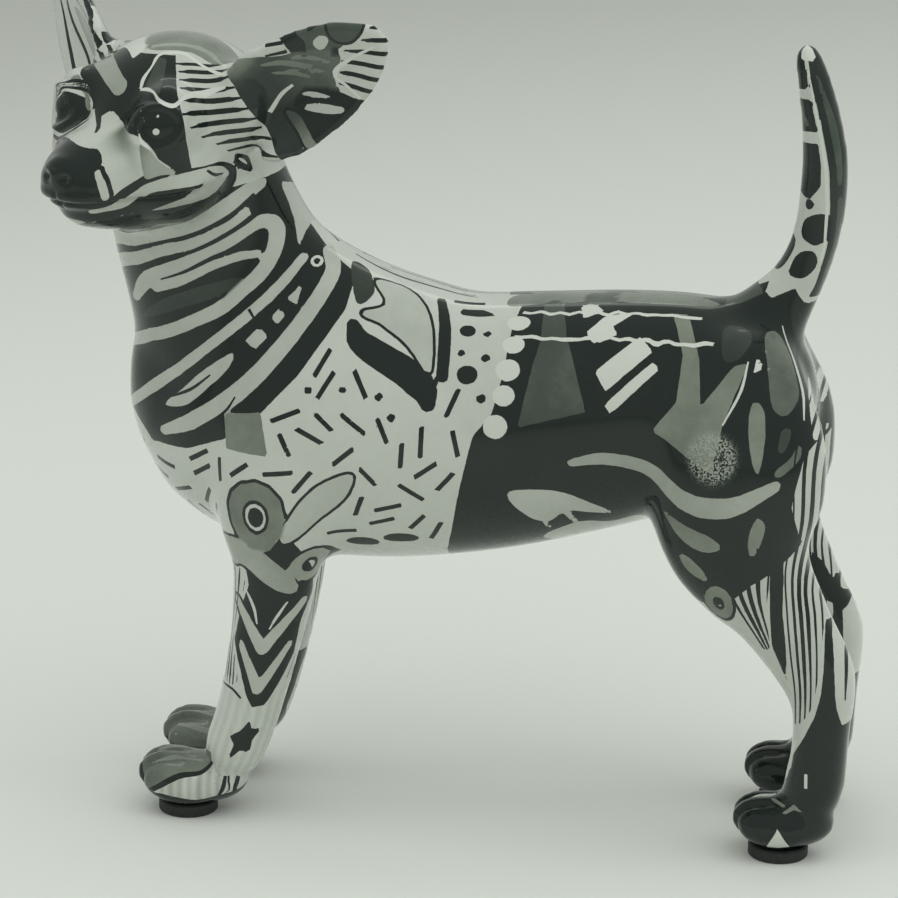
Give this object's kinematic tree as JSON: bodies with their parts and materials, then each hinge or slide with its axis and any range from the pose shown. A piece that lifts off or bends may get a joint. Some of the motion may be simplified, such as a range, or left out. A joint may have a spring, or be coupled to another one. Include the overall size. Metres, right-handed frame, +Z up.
{
  "type": "dog figurine",
  "caption": "Standing chihuahua figurine in glossy printed resin, head turned to its left and tail upright, on small rubber pads.",
  "frame": {"origin": "on the ground, under the middle of the figure's overall box", "axes": "+Z up, the dog stands facing -X, and its left side, to which the head is turned, is -Y"},
  "size_m": [0.1561, 0.059, 0.1526],
  "materials": {
    "lacquered_resin": "black, white and grey print under a high-gloss clear lacquer",
    "rubber": "matt black"
  },
  "bodies": {
    "root": {"dog_figurine": "lacquered_resin", "pad_front_left": "rubber", "pad_front_right": "rubber", "pad_rear_left": "rubber", "pad_rear_right": "rubber"}
  },
  "joints": []
}
